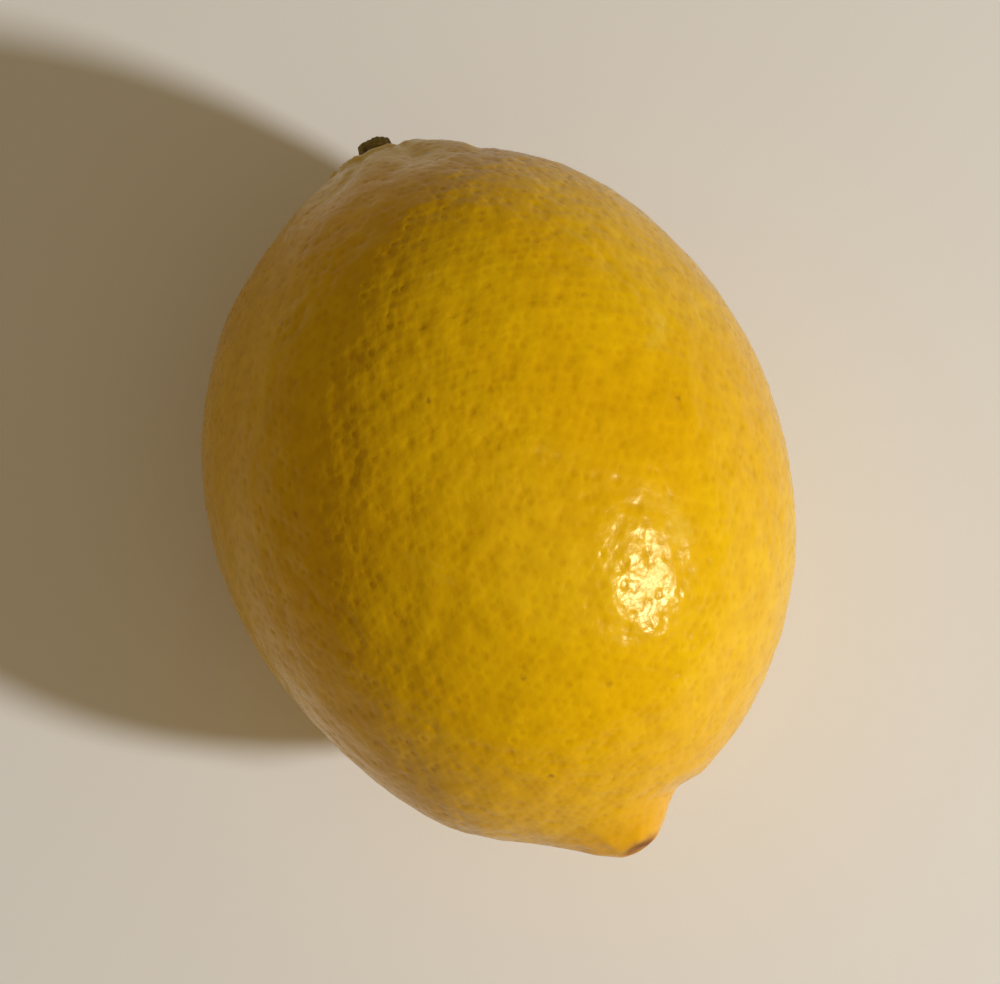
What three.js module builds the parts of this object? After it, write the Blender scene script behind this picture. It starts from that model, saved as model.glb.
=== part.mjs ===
// A whole lemon as picked, lying on its side: the fruit, with a blunt nipple at its flower end
// and a low neck at its stem end, and the dried stem button that sits on the neck.
// Millimetres. +Z is up and +X runs along the fruit towards the nipple. The origin is on the
// surface that the fruit rests on, under the middle of its length and width.
import * as THREE from "three";

// The fruit. Its length is measured both ways from its widest place.
const RADIUS = 30.5; // at the widest place, for a fruit of 61 mm across
const FRONT_LENGTH = 39; // to the end of the round body, under the nipple
const REAR_LENGTH = 35.2; // to the end of the round body, under the neck
const NIPPLE = { height: 3.6, radius: 5.8, bluntness: 2, lean: 1.1 };
const NECK = { height: 2.2, radius: 8.5, bluntness: 2.5 };
const NECK_RIDGES = { count: 7, height: 0.35, radius: 11, width: 4, turn: 0.6 };
const BOW = 0.5; // how far the fruit bends sideways from its widest place to each end
const SWELLS = [
  // Broad, uneven swellings of the body: height, waves along x, y and z, and phase.
  { height: 0.3, waves: new THREE.Vector3(0, 2.6, 1.4), phase: 0.5 },
  { height: 0.24, waves: new THREE.Vector3(-1.9, 0, 3.1), phase: 2.2 },
  { height: 0.18, waves: new THREE.Vector3(4.3, 2.4, 0), phase: 4 },
];
// A fuller shoulder on one side of the nipple, and a furrow around its foot on the other.
const SHOULDER = { facing: new THREE.Vector3(0.87, -0.49, 0), height: 0.8, spread: 0.3 };
const FURROW = { depth: 1.3, radius: 7.5, width: 2.2, hold: 3 }; // more hold keeps it to one side
const FRUIT_DETAIL = 19; // cuts of each edge of the icosahedron that the fruit is shaped from

// Two flats: where the fruit has settled on what it lies on, and where the button sits.
const AXIS_HEIGHT = 29.3; // of the fruit's long axis above the surface
const REST_SOFTNESS = 0.2; // how gradually the resting flat bends up into the round body
const SEAT = 36; // from the widest place back to the button's seat
const SEAT_SOFTNESS = 0.15;

// The stem button: five joined sepals around the stub of the stem.
const SEPALS = { count: 5, radius: 4.2, reach: 0.55, edge: 0.5, crown: 1.1 };
const STUB = { foot: 2.1, radius: 1.7, height: 2.6 };
const BUTTON_SEGMENTS = 60;

const MIDDLE = 2.2; // from the widest place forward to the middle of the whole length

const RIND = { color: 0xe2a90c, roughness: 0.38, metalness: 0 };
const DRY_STEM = { color: 0x6b6233, roughness: 0.85, metalness: 0 };

// A rounded rise of the given height and radius, with a flatter top the blunter it is.
function rise({ height, radius, bluntness }, distance) {
  return height * Math.exp(-((distance / radius) ** bluntness));
}

// The value, kept from passing below a limit, with a soft bend where it meets the limit.
function pressedFlat(value, limit, softness) {
  const clear = value - limit;
  if (clear >= softness) return value;
  if (clear <= -softness) return limit;
  return limit + (clear + softness) ** 2 / (4 * softness);
}

// How far the rind stands out from an even egg shape in a direction.
function unevenness(direction) {
  const shoulder = Math.exp(-((direction.angleTo(SHOULDER.facing) / SHOULDER.spread) ** 2));
  return SWELLS.reduce(
    (sum, { height, waves, phase }) => sum + height * Math.sin(waves.dot(direction) + phase),
    SHOULDER.height * shoulder,
  );
}

// The furrow is deepest on the side that faces +Y and dies out around the rest of the foot.
function furrow(distance, angle) {
  const { depth, radius, width, hold } = FURROW;
  const side = ((1 + Math.cos(angle)) / 2) ** hold;
  return depth * side * Math.exp(-(((distance - radius) / width) ** 2));
}

function neckRidge(distance, angle) {
  const { count, height, radius, width, turn } = NECK_RIDGES;
  return height * Math.cos(count * angle + turn) * Math.exp(-(((distance - radius) / width) ** 2));
}

// The point of the rind that lies in a direction from the middle of the fruit's widest place.
function rindPoint(direction) {
  const length = direction.x > 0 ? FRONT_LENGTH : REAR_LENGTH;
  const point = direction.clone().multiply(new THREE.Vector3(length, RADIUS, RADIUS));
  const distance = Math.hypot(point.y, point.z); // from the long axis
  const angle = Math.atan2(point.z, point.y);
  point.addScaledVector(direction, unevenness(direction));
  if (direction.x > 0) {
    const tip = rise(NIPPLE, distance);
    point.x += tip - furrow(distance, angle);
    point.y += (NIPPLE.lean * tip) / NIPPLE.height;
  } else {
    point.x -= rise(NECK, distance) + neckRidge(distance, angle);
  }
  point.y -= BOW * direction.x ** 2;
  point.x = pressedFlat(point.x, -SEAT, SEAT_SOFTNESS);
  point.z = pressedFlat(point.z, -AXIS_HEIGHT, REST_SOFTNESS);
  return point;
}

function makeFruit() {
  const geometry = new THREE.IcosahedronGeometry(1, FRUIT_DETAIL);
  const places = geometry.getAttribute("position");
  const direction = new THREE.Vector3();
  for (let i = 0; i < places.count; i++) {
    direction.fromBufferAttribute(places, i).normalize();
    places.setXYZ(i, ...rindPoint(direction));
  }
  geometry.computeVertexNormals();
  const fruit = new THREE.Mesh(geometry, new THREE.MeshStandardMaterial(RIND));
  fruit.name = "fruit";
  return fruit;
}

// Turned from its section, foot down, then drawn out into sepals around the stub.
function makeStemButton() {
  const section = [
    [0, 0],
    [SEPALS.radius, 0],
    [SEPALS.radius, SEPALS.edge],
    [STUB.foot, SEPALS.crown],
    [STUB.radius, SEPALS.crown + (STUB.foot - STUB.radius)],
    [STUB.radius, STUB.height],
    [0, STUB.height],
  ].map(([radius, height]) => new THREE.Vector2(radius, height));
  const geometry = new THREE.LatheGeometry(section, BUTTON_SEGMENTS);
  const places = geometry.getAttribute("position");
  for (let i = 0; i < places.count; i++) {
    const radius = Math.hypot(places.getX(i), places.getZ(i));
    if (radius <= STUB.foot) continue;
    const angle = Math.atan2(places.getZ(i), places.getX(i));
    const drawn = 1 + (SEPALS.reach * Math.cos(SEPALS.count * angle)) / SEPALS.radius;
    places.setX(i, places.getX(i) * drawn);
    places.setZ(i, places.getZ(i) * drawn);
  }
  geometry.computeVertexNormals();
  const button = new THREE.Mesh(geometry, new THREE.MeshStandardMaterial(DRY_STEM));
  button.name = "stem_button";
  button.rotation.z = Math.PI / 2; // its stub points back along the fruit
  button.position.set(-SEAT, -BOW, 0);
  return button;
}

const lemon = new THREE.Group();
lemon.position.set(-MIDDLE, 0, AXIS_HEIGHT);
lemon.add(makeFruit(), makeStemButton());

export default lemon;
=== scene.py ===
# A whole lemon as picked, lying on its side on a pale table. Metres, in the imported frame: +X runs
# along the fruit to its nipple, +Z is up, and the table's top is at zero.
import math
import random

import bmesh
import bpy
from mathutils import Matrix, Vector, kdtree, noise


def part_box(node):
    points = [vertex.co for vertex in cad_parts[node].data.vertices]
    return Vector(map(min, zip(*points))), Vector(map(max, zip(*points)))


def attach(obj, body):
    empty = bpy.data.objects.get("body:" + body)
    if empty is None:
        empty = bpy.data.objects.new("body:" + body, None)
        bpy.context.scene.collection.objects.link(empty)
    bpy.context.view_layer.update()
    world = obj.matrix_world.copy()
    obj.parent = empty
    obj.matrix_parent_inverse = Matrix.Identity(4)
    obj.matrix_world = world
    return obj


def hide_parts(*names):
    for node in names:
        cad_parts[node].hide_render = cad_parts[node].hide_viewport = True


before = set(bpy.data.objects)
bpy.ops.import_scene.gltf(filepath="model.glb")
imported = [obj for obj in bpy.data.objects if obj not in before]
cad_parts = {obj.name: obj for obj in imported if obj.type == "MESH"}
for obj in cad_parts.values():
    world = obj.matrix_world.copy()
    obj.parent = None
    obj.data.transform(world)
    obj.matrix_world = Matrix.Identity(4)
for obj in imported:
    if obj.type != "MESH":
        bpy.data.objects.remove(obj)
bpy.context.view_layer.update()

# The fruit, a berry grown in one piece. Its form is two half egg shapes that meet at the widest
# place, with a blunt nipple at the flower end, a low ridged neck at the stem end, broad chance
# swellings, and a small flat where its weight has settled.
radius = 0.0305
front_length, rear_length = 0.039, 0.0352
nipple_height, nipple_radius, nipple_lean = 0.0036, 0.0058, 0.0011
furrow_depth, furrow_radius, furrow_width = 0.0013, 0.0075, 0.0022
furrow_hold = 3  # more hold keeps the furrow to one side of the nipple
shoulder_facing, shoulder_height, shoulder_spread = Vector((0.87, -0.49, 0)), 0.0008, 0.3
neck_height, neck_radius, neck_bluntness = 0.0022, 0.0085, 2.5
neck_ridge_count, neck_ridge_height, neck_ridge_turn = 7, 0.00035, 0.6
neck_ridge_radius, neck_ridge_width = 0.011, 0.004
bow = 0.0005
swells = [  # height, waves along x, y and z, and phase
    (0.0003, Vector((0, 2.6, 1.4)), 0.5),
    (0.00024, Vector((-1.9, 0, 3.1)), 2.2),
    (0.00018, Vector((4.3, 2.4, 0)), 4),
]
seat_distance, seat_softness, rest_softness = 0.036, 0.00015, 0.0002

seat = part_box("stem_button")[1].x
axis_height = sum(corner.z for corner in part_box("stem_button")) / 2
widest_place = Vector((seat + seat_distance, 0, axis_height))


def pressed_flat(value, limit, softness):
    clear = value - limit
    if clear >= softness:
        return value
    if clear <= -softness:
        return limit
    return limit + (clear + softness) ** 2 / (4 * softness)


def fade(value, start, end):
    share = min(max((value - start) / (end - start), 0), 1)
    return share * share * (3 - 2 * share)


def rind_point(direction):
    length = front_length if direction.x > 0 else rear_length
    point = Vector((length * direction.x, radius * direction.y, radius * direction.z))
    distance = math.hypot(point.y, point.z)
    angle = math.atan2(point.z, point.y)
    off_shoulder = direction.angle(shoulder_facing) / shoulder_spread
    swelling = shoulder_height * math.exp(-(off_shoulder**2))
    for height, waves, phase in swells:
        swelling += height * math.sin(waves.dot(direction) + phase)
    point += direction * swelling
    if direction.x > 0:
        tip = math.exp(-((distance / nipple_radius) ** 2))
        furrow_side = ((1 + math.cos(angle)) / 2) ** furrow_hold
        furrow = furrow_side * math.exp(-(((distance - furrow_radius) / furrow_width) ** 2))
        point.x += nipple_height * tip - furrow_depth * furrow
        point.y += nipple_lean * tip
    else:
        from_ridges = (distance - neck_ridge_radius) / neck_ridge_width
        ridge = math.cos(neck_ridge_count * angle + neck_ridge_turn)
        ridge *= math.exp(-from_ridges * from_ridges)
        point.x -= neck_height * math.exp(-((distance / neck_radius) ** neck_bluntness))
        point.x -= neck_ridge_height * ridge
    point.y -= bow * direction.x**2
    point.x = pressed_flat(point.x, -seat_distance, seat_softness)
    point += widest_place
    point.z = pressed_flat(point.z, 0, rest_softness)
    return point


# Its rind is pitted all over by oil glands, one to each point of a fine ball, nudged so that no
# rows show. Each point is then ringed by finer ones, and the ball takes the fruit's form.
growth = random.Random(11)
gland_nudge = 0.0098  # on a ball of radius 1
shallowest_pit, usual_pit, deepest_pit = 0.00001, 0.00007, 0.00017
narrowest_pit, widest_pit = 0.00045, 0.0009  # radii
rind = bmesh.new()
bmesh.ops.create_icosphere(rind, subdivisions=6, radius=1)
for vert in rind.verts:
    nudge = Vector([growth.uniform(-gland_nudge, gland_nudge) for _ in range(3)])
    vert.co = (vert.co + nudge).normalized()
glands = kdtree.KDTree(len(rind.verts))
for index, vert in enumerate(rind.verts):
    glands.insert(rind_point(vert.co), index)
glands.balance()
pit_depths = [growth.triangular(shallowest_pit, deepest_pit, usual_pit) for _ in rind.verts]
pit_radii = [growth.uniform(narrowest_pit, widest_pit) for _ in rind.verts]
bmesh.ops.subdivide_edges(rind, edges=rind.edges[:], cuts=2, use_grid_fill=True)
for vert in rind.verts:
    vert.co = rind_point(vert.co.normalized())
rind.normal_update()

# The skin over it: pits at the glands, low lumps between them, wrinkles on the nipple, puckers and
# creases around the stem, and a sunken brown scar where the flower's style dropped off.
tip = rind_point(Vector((1, 0, 0)))
scar_centre = tip + Vector((-0.0003, 0.0008, 0.0011))
scar_radius, scar_sink, scar_rim = 0.0022, 0.00025, 0.00008
skin_lumps = [(0.00011, 420), (0.0001, 170), (0.00018, 75)]  # height, and waves to the metre
foot_fill, foot_radius, foot_width = 0.0002, 0.0075, 0.0016  # softens the nipple's furrow
wrinkle_height = 0.00016
crease_count, crease_depth = 9, 0.0006
pucker_height, pucker_cut, pucker_radius, pucker_width = 0.0004, 0.0005, 0.0054, 0.0007
darkest_pit = 0.0001
stem_centre = Vector((seat, -bow, axis_height))
gland_shade = rind.verts.layers.float.new("gland")
scar_shade = rind.verts.layers.float.new("scar")
stem_shade = rind.verts.layers.float.new("stem_end")
nipple_shade = rind.verts.layers.float.new("nipple")
moves = []
for vert in rind.verts:
    place = vert.co
    from_tip = (place - tip).length
    from_scar = (place - scar_centre).length + 0.0005 * noise.noise(place * 900)
    from_stem = (place - stem_centre).length
    on_seat = 1 - fade(from_stem, 0.0045, 0.006)
    on_tip = 1 - fade(from_tip, 0.002, 0.007)
    scarred = 1 - fade(from_scar, scar_radius * 0.55, scar_radius * 1.3)
    nearest, index, distance = glands.find(place)
    pit = max(1 - (distance / pit_radii[index]) ** 2, 0) ** 2
    pit *= pit_depths[index] * (1 - 0.75 * on_tip) * (1 - on_seat) * (1 - scarred)
    lumps = sum(height * noise.noise(place * waves) for height, waves in skin_lumps)
    lumps *= 1 - on_seat
    around_tip = math.atan2(place.z - tip.z, place.y - tip.y)
    around_stem = math.atan2(place.z - stem_centre.z, place.y - stem_centre.y)
    off_axis = math.hypot(place.y - tip.y, place.z - tip.z)
    creases = 0
    if place.x > widest_place.x:
        foot = math.exp(-(((off_axis - foot_radius) / foot_width) ** 2))
        creases += foot_fill * foot * (0.5 + 0.5 * math.cos(around_tip))
        ring = Vector((3.2 * math.cos(around_tip), 3.2 * math.sin(around_tip), from_tip * 160))
        on_nipple = fade(from_tip, 0.002, 0.004) * (1 - fade(from_tip, 0.004, 0.0095))
        creases += wrinkle_height * noise.noise(ring) * on_nipple
        creases -= scar_sink * (1 - fade(from_scar, 0, scar_radius))
        creases += scar_rim * math.exp(-(((from_scar - 1.15 * scar_radius) / 0.0005) ** 2))
    else:
        wander = 0.7 * noise.noise(Vector((from_stem * 90, 2, 5)))
        groove = max(math.cos(crease_count * (around_stem + wander) + 1.3), 0) ** 2
        ring = Vector((2 * math.cos(around_stem), 2 * math.sin(around_stem), 7))
        groove *= 0.7 + 0.6 * noise.noise(ring)
        on_neck = fade(from_stem, 0.0046, 0.0072) * (1 - fade(from_stem, 0.009, 0.02))
        creases -= crease_depth * groove * on_neck
        pucker = math.exp(-(((from_stem - pucker_radius) / pucker_width) ** 2))
        creases += (pucker_height - pucker_cut * groove) * pucker
    vert[gland_shade] = pit / darkest_pit
    vert[scar_shade] = scarred
    vert[stem_shade] = 1 - fade(from_stem, 0.005, 0.02)
    vert[nipple_shade] = 1 - fade(from_tip, 0.003, 0.014)
    moves.append(vert.normal * (lumps + creases - pit))
for vert, move in zip(rind.verts, moves):
    vert.co += move
    vert.co.z = max(vert.co.z, 0)
for face in rind.faces:
    face.smooth = True
rind_mesh = bpy.data.meshes.new("lemon_rind")
rind.to_mesh(rind_mesh)
rind.free()
lemon_rind = bpy.data.objects.new("lemon_rind", rind_mesh)
bpy.context.scene.collection.objects.link(lemon_rind)


def add_node(tree, kind, inputs=None, **settings):
    node = tree.nodes.new(kind)
    for name, value in settings.items():
        setattr(node, name, value)
    for socket, value in (inputs or {}).items():
        if isinstance(value, bpy.types.NodeSocket):
            tree.links.new(value, node.inputs[socket])
        else:
            node.inputs[socket].default_value = value
    return node


def mixed(tree, share, first, second, how="MIX"):
    colours = {0: share, 6: first, 7: second}
    return add_node(tree, "ShaderNodeMix", colours, data_type="RGBA", blend_type=how).outputs[2]


def ranged(tree, value, low, high, new_low, new_high):
    limits = {0: value, 1: low, 2: high, 3: new_low, 4: new_high}
    return add_node(tree, "ShaderNodeMapRange", limits).outputs[0]


def times(tree, first, second):
    return add_node(tree, "ShaderNodeMath", {0: first, 1: second}, operation="MULTIPLY").outputs[0]


# Waxed ripe peel: warm yellow that drifts between golden and paler, darker in the glands, with
# a green cast by the stem, a few rust specks and pale scuffs, and a satin shine.
golden = (0.76, 0.42, 0.001, 1)
lemon_yellow = (0.8, 0.495, 0.002, 1)
gland_amber = (0.56, 0.27, 0.001, 1)
stem_green = (0.5, 0.45, 0.015, 1)
nipple_amber = (0.75, 0.35, 0.001, 1)
scar_brown = (0.2, 0.065, 0.01, 1)
scar_tan = (0.46, 0.19, 0.015, 1)
rust = (0.3, 0.13, 0.012, 1)
scuff_buff = (0.8, 0.55, 0.06, 1)

peel = bpy.data.materials.new("waxed_peel")
peel.use_nodes = True
tree = peel.node_tree
gloss = tree.nodes["Principled BSDF"]
place = add_node(tree, "ShaderNodeTexCoord").outputs["Object"]
drift = add_node(tree, "ShaderNodeTexNoise", {"Vector": place, "Scale": 38, "Detail": 3}).outputs[0]
patches = add_node(tree, "ShaderNodeTexNoise", {"Vector": place, "Scale": 420, "Detail": 4}).outputs[0]
colour = mixed(tree, ranged(tree, drift, 0.35, 0.65, 0, 1), golden, lemon_yellow)
colour = mixed(tree, ranged(tree, patches, 0.35, 0.7, 0, 0.35), colour, gland_amber)
nipple = add_node(tree, "ShaderNodeAttribute", attribute_name="nipple").outputs["Fac"]
colour = mixed(tree, times(tree, nipple, 0.6), colour, nipple_amber)
stem_end = add_node(tree, "ShaderNodeAttribute", attribute_name="stem_end").outputs["Fac"]
colour = mixed(tree, times(tree, stem_end, 0.35), colour, stem_green)
gland = add_node(tree, "ShaderNodeAttribute", attribute_name="gland").outputs["Fac"]
colour = mixed(tree, ranged(tree, gland, 0, 1.1, 0, 0.36), colour, gland_amber)
rubbing = {"Vector": place, "Scale": 60, "Detail": 9, "Roughness": 0.7, "Distortion": 0.6}
scuffs = add_node(tree, "ShaderNodeTexNoise", rubbing).outputs[0]
colour = mixed(tree, ranged(tree, scuffs, 0.61, 0.68, 0, 0.35), colour, scuff_buff)
ragged = add_node(tree, "ShaderNodeTexNoise", {"Vector": place, "Scale": 1800, "Detail": 2}).outputs[1]
ragged = add_node(tree, "ShaderNodeVectorMath", {0: ragged, 3: 0.0007}, operation="SCALE").outputs[0]
ragged = add_node(tree, "ShaderNodeVectorMath", {0: place, 1: ragged}).outputs[0]
specks = add_node(tree, "ShaderNodeTexVoronoi", {"Vector": ragged, "Scale": 210})
speck_chance = ranged(tree, specks.outputs["Color"], 0.45, 0.9, 0, 0.8)
speck = times(tree, ranged(tree, specks.outputs["Distance"], 0.03, 0.1, 1, 0), speck_chance)
colour = mixed(tree, speck, colour, rust)
scar = add_node(tree, "ShaderNodeAttribute", attribute_name="scar").outputs["Fac"]
scar_colour = mixed(tree, ranged(tree, patches, 0.4, 0.6, 0, 1), scar_brown, scar_tan)
colour = mixed(tree, scar, colour, scar_colour)
tree.links.new(colour, gloss.inputs["Base Color"])
dulled = ranged(tree, scuffs, 0.4, 0.7, 0.2, 0.34)
dulled = add_node(tree, "ShaderNodeMath", {0: dulled, 1: times(tree, scar, 0.4)}).outputs[0]
tree.links.new(dulled, gloss.inputs["Roughness"])
gloss.inputs["Specular IOR Level"].default_value = 0.22
gloss.inputs["Specular Tint"].default_value = (1, 0.9, 0.5, 1)
pores = add_node(tree, "ShaderNodeTexVoronoi", {"Vector": place, "Scale": 1500}).outputs["Distance"]
grain = add_node(tree, "ShaderNodeTexNoise", {"Vector": place, "Scale": 2600, "Detail": 3}).outputs[0]
relief = add_node(tree, "ShaderNodeMath", {0: pores, 1: grain}).outputs[0]
bump = add_node(tree, "ShaderNodeBump", {"Strength": 0.4, "Distance": 0.00004, "Height": relief})
tree.links.new(bump.outputs[0], gloss.inputs["Normal"])
rind_mesh.materials.append(peel)

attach(lemon_rind, "root")
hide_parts("fruit")

# The stem button: the flower's dried calyx of five joined sepals, close against the neck with
# their tips a little raised, and the stub of the stem that the fruit was clipped from. Woody,
# turned from one outline, then drawn out into lobes and wrinkled.
button_outline = [
    (0, 0), (0.0042, 0), (0.0043, 0.0004), (0.0036, 0.0008), (0.0023, 0.0011),
    (0.0018, 0.0015), (0.0017, 0.0024), (0.0014, 0.0026), (0.0006, 0.0024), (0, 0.0023),
]
sepal_count = 5
lobe_root, lobe_reach, rib_height = 0.79, 0.34, 0.00024
calyx_wrinkle = 0.00013
button = bmesh.new()
corners = [button.verts.new((across, 0, up)) for across, up in button_outline]
outline = [button.edges.new(pair) for pair in zip(corners, corners[1:])]
bmesh.ops.spin(
    button, geom=corners + outline, cent=(0, 0, 0), axis=(0, 0, 1), angle=math.tau, steps=90, use_merge=True
)
bmesh.ops.remove_doubles(button, verts=button.verts, dist=0.000001)
bmesh.ops.recalc_face_normals(button, faces=button.faces)
bmesh.ops.subdivide_edges(button, edges=button.edges[:], cuts=1, use_grid_fill=True)
bmesh.ops.smooth_vert(
    button, verts=button.verts, factor=0.5, use_axis_x=True, use_axis_y=True, use_axis_z=True
)
sepal_reach = [growth.uniform(0.85, 1.1) for _ in range(sepal_count)]
cut_shade = button.verts.layers.float.new("cut_end")
for vert in button.verts:
    across, angle, up = math.hypot(vert.co.x, vert.co.y), math.atan2(vert.co.y, vert.co.x), vert.co.z
    turn = (angle / math.tau) % 1 * sepal_count
    off_rib = abs(turn - round(turn))
    reach = sepal_reach[round(turn) % sepal_count]
    on_sepal = fade(across, 0.0021, 0.0036)
    rounding = 1 + 0.25 * math.sin(math.tau * off_rib)
    point = lobe_root + lobe_reach * reach * (1 - 2 * off_rib) ** 1.15 * rounding
    point += 0.05 * noise.noise(Vector((4 * math.cos(angle), 4 * math.sin(angle), 3)))
    stretch = 1 + on_sepal * (point - 1)
    stubbed = fade(up, 0.0012, 0.0016) * (1 - on_sepal)
    stretch += 0.06 * stubbed * math.cos(13 * angle + 2 * math.sin(2 * angle))
    wrinkle = noise.noise(vert.co * 1100) + 0.5 * noise.noise(vert.co * 2600)
    vert[cut_shade] = fade(up, 0.0022, 0.00245) * (1 - fade(across, 0.0011, 0.0016))
    vert.co.x *= stretch
    vert.co.y *= stretch
    if up > 0.0001:
        rib = math.exp(-((off_rib / 0.12) ** 2)) - 1.2 * math.exp(-(((0.5 - off_rib) / 0.1) ** 2))
        vert.co.z += rib_height * rib * fade(across, 0.0015, 0.0025)
        vert.co.z += calyx_wrinkle * wrinkle + 0.06 * stubbed * vert.co.x
    curl = 0.00025 + 0.0002 * math.sin(2 * angle + 1)
    vert.co.z += curl * fade(across * stretch, 0.0034, 0.0052)
onto_its_side = Matrix.Rotation(-math.pi / 2, 3, "Y")
bmesh.ops.rotate(button, verts=button.verts, cent=(0, 0, 0), matrix=onto_its_side)
bmesh.ops.translate(button, verts=button.verts, vec=stem_centre)
for face in button.faces:
    face.smooth = True
button_mesh = bpy.data.meshes.new("calyx_and_stub")
button.to_mesh(button_mesh)
button.free()
calyx_and_stub = bpy.data.objects.new("calyx_and_stub", button_mesh)
bpy.context.scene.collection.objects.link(calyx_and_stub)

olive_brown = (0.27, 0.2, 0.055, 1)
dark_brown = (0.11, 0.062, 0.02, 1)
dry_green = (0.36, 0.33, 0.1, 1)
cut_wood = (0.45, 0.34, 0.17, 1)
dry_stem = bpy.data.materials.new("dried_calyx")
dry_stem.use_nodes = True
tree = dry_stem.node_tree
matte = tree.nodes["Principled BSDF"]
place = add_node(tree, "ShaderNodeTexCoord").outputs["Object"]
weathering = add_node(tree, "ShaderNodeTexNoise", {"Vector": place, "Scale": 700, "Detail": 5}).outputs[0]
fibres = add_node(tree, "ShaderNodeTexNoise", {"Vector": place, "Scale": 3000, "Detail": 4}).outputs[0]
colour = mixed(tree, ranged(tree, weathering, 0.3, 0.6, 0, 1), dark_brown, olive_brown)
colour = mixed(tree, ranged(tree, fibres, 0.5, 0.75, 0, 0.8), colour, dry_green)
cut_end = add_node(tree, "ShaderNodeAttribute", attribute_name="cut_end").outputs["Fac"]
colour = mixed(tree, times(tree, cut_end, 0.9), colour, cut_wood)
tree.links.new(colour, matte.inputs["Base Color"])
tree.links.new(ranged(tree, fibres, 0.3, 0.7, 0.7, 0.95), matte.inputs["Roughness"])
bump = add_node(tree, "ShaderNodeBump", {"Strength": 0.8, "Distance": 0.0001, "Height": fibres})
tree.links.new(bump.outputs[0], matte.inputs["Normal"])
button_mesh.materials.append(dry_stem)

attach(calyx_and_stub, "root")
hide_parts("stem_button")

# The table: a plain pale painted top, faintly uneven in tone, much wider than the fruit.
table_width = 6
table = bmesh.new()
bmesh.ops.create_grid(table, x_segments=1, y_segments=1, size=table_width / 2)
table_mesh = bpy.data.meshes.new("table_top")
table.to_mesh(table_mesh)
table.free()
table_top = bpy.data.objects.new("table_top", table_mesh)
bpy.context.scene.collection.objects.link(table_top)
table_paint = bpy.data.materials.new("table_paint")
table_paint.use_nodes = True
tree = table_paint.node_tree
place = add_node(tree, "ShaderNodeTexCoord").outputs["Object"]
tone = add_node(tree, "ShaderNodeTexNoise", {"Vector": place, "Scale": 9, "Detail": 3}).outputs[0]
colour = mixed(tree, tone, (0.86, 0.85, 0.83, 1), (0.9, 0.89, 0.87, 1))
tree.links.new(colour, tree.nodes["Principled BSDF"].inputs["Base Color"])
tree.nodes["Principled BSDF"].inputs["Roughness"].default_value = 0.55
table_mesh.materials.append(table_paint)

# The light: a small lamp low beyond the nipple, a wide one above it, and a warm room all round.
lemon_middle = Vector((0, 0, axis_height))


def soft_lamp(name, azimuth, elevation, distance, width, watts, tint):
    lamp = bpy.data.lights.new(name, "AREA")
    lamp.shape = "DISK"
    lamp.size = width
    lamp.energy = watts
    lamp.color = tint
    holder = bpy.data.objects.new(name, lamp)
    level = distance * math.cos(math.radians(elevation))
    away = Vector((
        level * math.cos(math.radians(azimuth)),
        level * math.sin(math.radians(azimuth)),
        distance * math.sin(math.radians(elevation)),
    ))
    holder.location = lemon_middle + away
    holder.rotation_euler = away.to_track_quat("Z", "Y").to_euler()
    bpy.context.scene.collection.objects.link(holder)


soft_lamp(
    "key_lamp", azimuth=50, elevation=32, distance=0.9, width=0.08, watts=6.5, tint=(1, 0.995, 0.98)
)
soft_lamp(
    "fill_lamp", azimuth=10, elevation=70, distance=1.2, width=0.9, watts=0.8, tint=(1, 0.82, 0.55)
)
room = bpy.data.worlds.new("room")
room.use_nodes = True
room.node_tree.nodes["Background"].inputs["Color"].default_value = (1, 0.765, 0.44, 1)
room.node_tree.nodes["Background"].inputs["Strength"].default_value = 0.21
bpy.context.scene.world = room
bpy.context.scene.view_settings.view_transform = "Standard"

# The camera: held nearly straight above, at the height that a hand holds a phone.
camera_azimuth, camera_elevation, camera_distance = 71, 80, 0.36
lens = bpy.data.cameras.new("camera")
lens.lens = 122
lens.clip_start = 0.01
camera = bpy.data.objects.new("camera", lens)
turn, lift = math.radians(camera_azimuth), math.radians(camera_elevation)
back = Vector((math.sin(turn) * math.cos(lift), -math.cos(turn) * math.cos(lift), math.sin(lift)))
camera.location = lemon_middle + camera_distance * back
camera.rotation_euler = back.to_track_quat("Z", "Y").to_euler()
bpy.context.scene.collection.objects.link(camera)
bpy.context.scene.camera = camera
